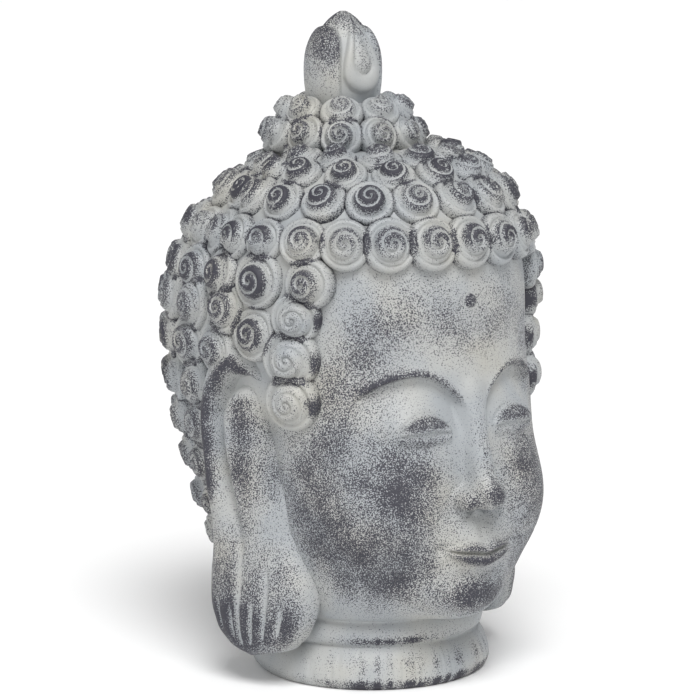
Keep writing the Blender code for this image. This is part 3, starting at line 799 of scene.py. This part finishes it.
crown_turn, crown_climb = np.meshgrid(
    np.linspace(0, 2 * math.pi, 72, endpoint=False), np.radians(np.arange(-40, 88, 4)))
crown_points = np.array(CROWN) + np.array(CROWN_REACH) * np.stack([
    np.sin(crown_turn) * np.cos(crown_climb), -np.cos(crown_turn) * np.cos(crown_climb),
    np.sin(crown_climb)], -1)
ringed_piece("crown", crown_points, np.zeros(crown_turn.shape))
set_curls("crown_curls", crown_places(), CROWN_SPARE, chance)


# Jewel: a closed bud, cast on the crown. A broad leaf with a rounded top wraps each side, and in
# front and behind a pointed drop has a thick rolled edge with a long bead lying in it.
BUD_FOOT = 500
BUD_Y = 42
BUD_RADIUS = 36
BUD_MIDDLE = 545        # height where the bud is fullest
LEAF_SHOULDER, LEAF_ROUND = 560, 27    # where a leaf's edge starts to round off, and over what
# Middle height, half width in radians, reach down and up
DROP = (546, 0.66, 20, 58)
BEAD = (555, 0.31, 12, 33)


def teardrop(ahead, height, shape):
    """1 on the edge of a drop, less inside: an ellipse below its middle, and above it m-th powers."""
    middle, half, down, up = shape
    m = np.where(height < middle, 2, 1.4)
    rise = np.where(height < middle, (middle - height) / down, (height - middle) / up)
    return ((ahead / half) ** m + rise ** m) ** (1 / m)


def bud_surface(columns=180, rows=120):
    """Radius round the bud's upright: a full body, less the valleys between leaf, roll and bead."""
    turn, height = np.meshgrid(
        np.linspace(0, 2 * math.pi, columns, endpoint=False),
        BUD_FOOT + (PARTS - BUD_FOOT) * np.sin(np.linspace(0, math.pi / 2, rows)))
    share = np.clip((height - BUD_MIDDLE) / (PARTS - BUD_MIDDLE), 0, 1)
    ahead = np.arccos(np.clip(np.abs(np.cos(turn)), 0, 1))
    aside = math.pi / 2 - ahead
    rounding = np.clip(height - LEAF_SHOULDER, 0, LEAF_ROUND - 0.1) / LEAF_ROUND
    leaf_half = 0.84 * np.sqrt(1 - rounding ** 4)
    leaf = 1 - smoothstep(-0.05, 0.05, aside - leaf_half)
    body = BUD_RADIUS * np.where(
        height < BUD_MIDDLE, 1 - 0.25 * ((BUD_MIDDLE - height) / (BUD_MIDDLE - BUD_FOOT)) ** 2,
        (1 - 0.97 * share ** (1.7 + 0.9 * leaf)) ** 0.72)
    drop, bead_edge = teardrop(ahead, height, DROP), teardrop(ahead, height, BEAD)
    inside, outside = np.clip(bead_edge - 1, 0, None), np.clip(1 - drop, 0, None) * 2.2
    place = inside / (inside + outside + 1e-6)
    roll = 2 * np.sqrt(place * (1 - place)) * (drop < 1)
    bead = np.sqrt(np.clip(1 - bead_edge ** 2, 0, 1))
    radius = body * (0.85 + 0.15 * leaf + (1 - leaf) * (0.15 * roll + 0.11 * bead))
    points = np.stack([radius * np.sin(turn), BUD_Y - radius * np.cos(turn), height], -1)
    leaf_wear = 0.74 * smoothstep(505, 590, height)
    tip_wear = 0.5 * smoothstep(570, 592, height)
    roll_wear = 0.4 * roll * smoothstep(548, 575, height) * smoothstep(0.5, 0.1, place)
    wear = leaf * leaf_wear + (1 - leaf) * (tip_wear + roll_wear) + 0.32 * bead
    return points, wear


ringed_piece("jewel", *bud_surface())


# Mark on the forehead: a small round button, cast on, rubbed dark.
DOT_HEIGHT = 352
DOT_RADIUS = 6.5
DOT_RISE = 3
DOT_WEAR = 0.75

forehead_climb = math.asin((DOT_HEIGHT - DOME_FOOT) / DOME_RISE)
dot_front = head_surface([0.0], [NECK_TOP], [forehead_climb])[0][-1, 0, 1]
dot_turn, dot_climb = np.meshgrid(
    np.linspace(0, 2 * math.pi, 36, endpoint=False), np.linspace(0.02, math.pi / 2, 12)[::-1])
dot_points = np.stack([
    -DOT_RADIUS * np.sin(dot_climb) * np.sin(dot_turn),
    dot_front + 1 - (DOT_RISE + 1) * np.cos(dot_climb),
    DOT_HEIGHT - DOT_RADIUS * np.sin(dot_climb) * np.cos(dot_turn)], -1)
ringed_piece("forehead_mark", dot_points, np.full(dot_turn.shape, DOT_WEAR))


# Studio: a plain pale floor, a large soft key from above, ahead and to the head's right, a weak
# fill from that side, and a white surround that is dimmer overhead. The camera has the photograph's
# angle and distance: a long lens a little above eye height.
FRAME_PX = 700
FOCAL_PX = 2572
SENSOR_MM = 36
AZIMUTH, ELEVATION = math.radians(-38), math.radians(8.6)
CAMERA_DISTANCE = 2.4
CAMERA_TARGET = Vector((0.00946, 0.04352, 0.28590))
KEY_FROM = Vector((-0.40, -0.72, 1.15))
FILL_FROM = Vector((-2.4, -1.0, 1.0))
HEAD_MIDDLE = Vector((0, 0, 0.3))
EYE_LEVEL_WHITE, OVERHEAD_WHITE = 1.02, 0.42


def add_object(name, data):
    """Puts an object with this data into the scene."""
    made = bpy.data.objects.new(name, data)
    bpy.context.scene.collection.objects.link(made)
    return made


sun = bpy.data.lights.new("key", "SUN")
sun.energy = 2.6
sun.angle = math.radians(30)
add_object("key", sun).rotation_euler = KEY_FROM.to_track_quat("Z", "Y").to_euler()

lamp = bpy.data.lights.new("fill", "AREA")
lamp.shape = "DISK"
lamp.size = 1.6
lamp.energy = 5
fill = add_object("fill", lamp)
fill.location = FILL_FROM
fill.rotation_euler = (HEAD_MIDDLE - FILL_FROM).to_track_quat("-Z", "Y").to_euler()

# The surround's strength follows the upright part of the direction
world = bpy.data.worlds.new("studio")
world.use_nodes = True
sky = world.node_tree
outlook = add_node(sky, "ShaderNodeTexCoord").outputs["Generated"]
upright = add_node(sky, "ShaderNodeSeparateXYZ", {0: outlook}).outputs["Z"]
strength = add_node(sky, "ShaderNodeMapRange", {
    "Value": upright, "From Min": 0.08, "From Max": 0.30,
    "To Min": EYE_LEVEL_WHITE, "To Max": OVERHEAD_WHITE}, interpolation_type="SMOOTHSTEP")
sky.links.new(strength.outputs["Result"], sky.nodes["Background"].inputs["Strength"])
sky.nodes["Background"].inputs["Color"].default_value = (1, 1, 1, 1)
bpy.context.scene.world = world
bpy.context.scene.view_settings.view_transform = "Standard"

floor_mesh = bpy.data.meshes.new("floor")
floor_mesh.from_pydata([(-30, -30, 0), (30, -30, 0), (30, 30, 0), (-30, 30, 0)], [], [(0, 1, 2, 3)])
floor_paint = bpy.data.materials.new("pale_floor")
floor_paint.use_nodes = True
floor_shader = floor_paint.node_tree.nodes["Principled BSDF"]
floor_shader.inputs["Base Color"].default_value = from_hex("#fbfbfb")
floor_shader.inputs["Roughness"].default_value = 0.9
floor_mesh.materials.append(floor_paint)
add_object("floor", floor_mesh)

camera = add_object("camera", bpy.data.cameras.new("camera"))
camera.data.sensor_width = SENSOR_MM
camera.data.lens = FOCAL_PX / FRAME_PX * SENSOR_MM
camera.data.clip_start, camera.data.clip_end = 0.1, 100
back_vector = Vector((
    math.sin(AZIMUTH) * math.cos(ELEVATION), -math.cos(AZIMUTH) * math.cos(ELEVATION),
    math.sin(ELEVATION)))
camera.location = CAMERA_TARGET + back_vector * CAMERA_DISTANCE
camera.rotation_euler = (-back_vector).to_track_quat("-Z", "Y").to_euler()
bpy.context.scene.camera = camera
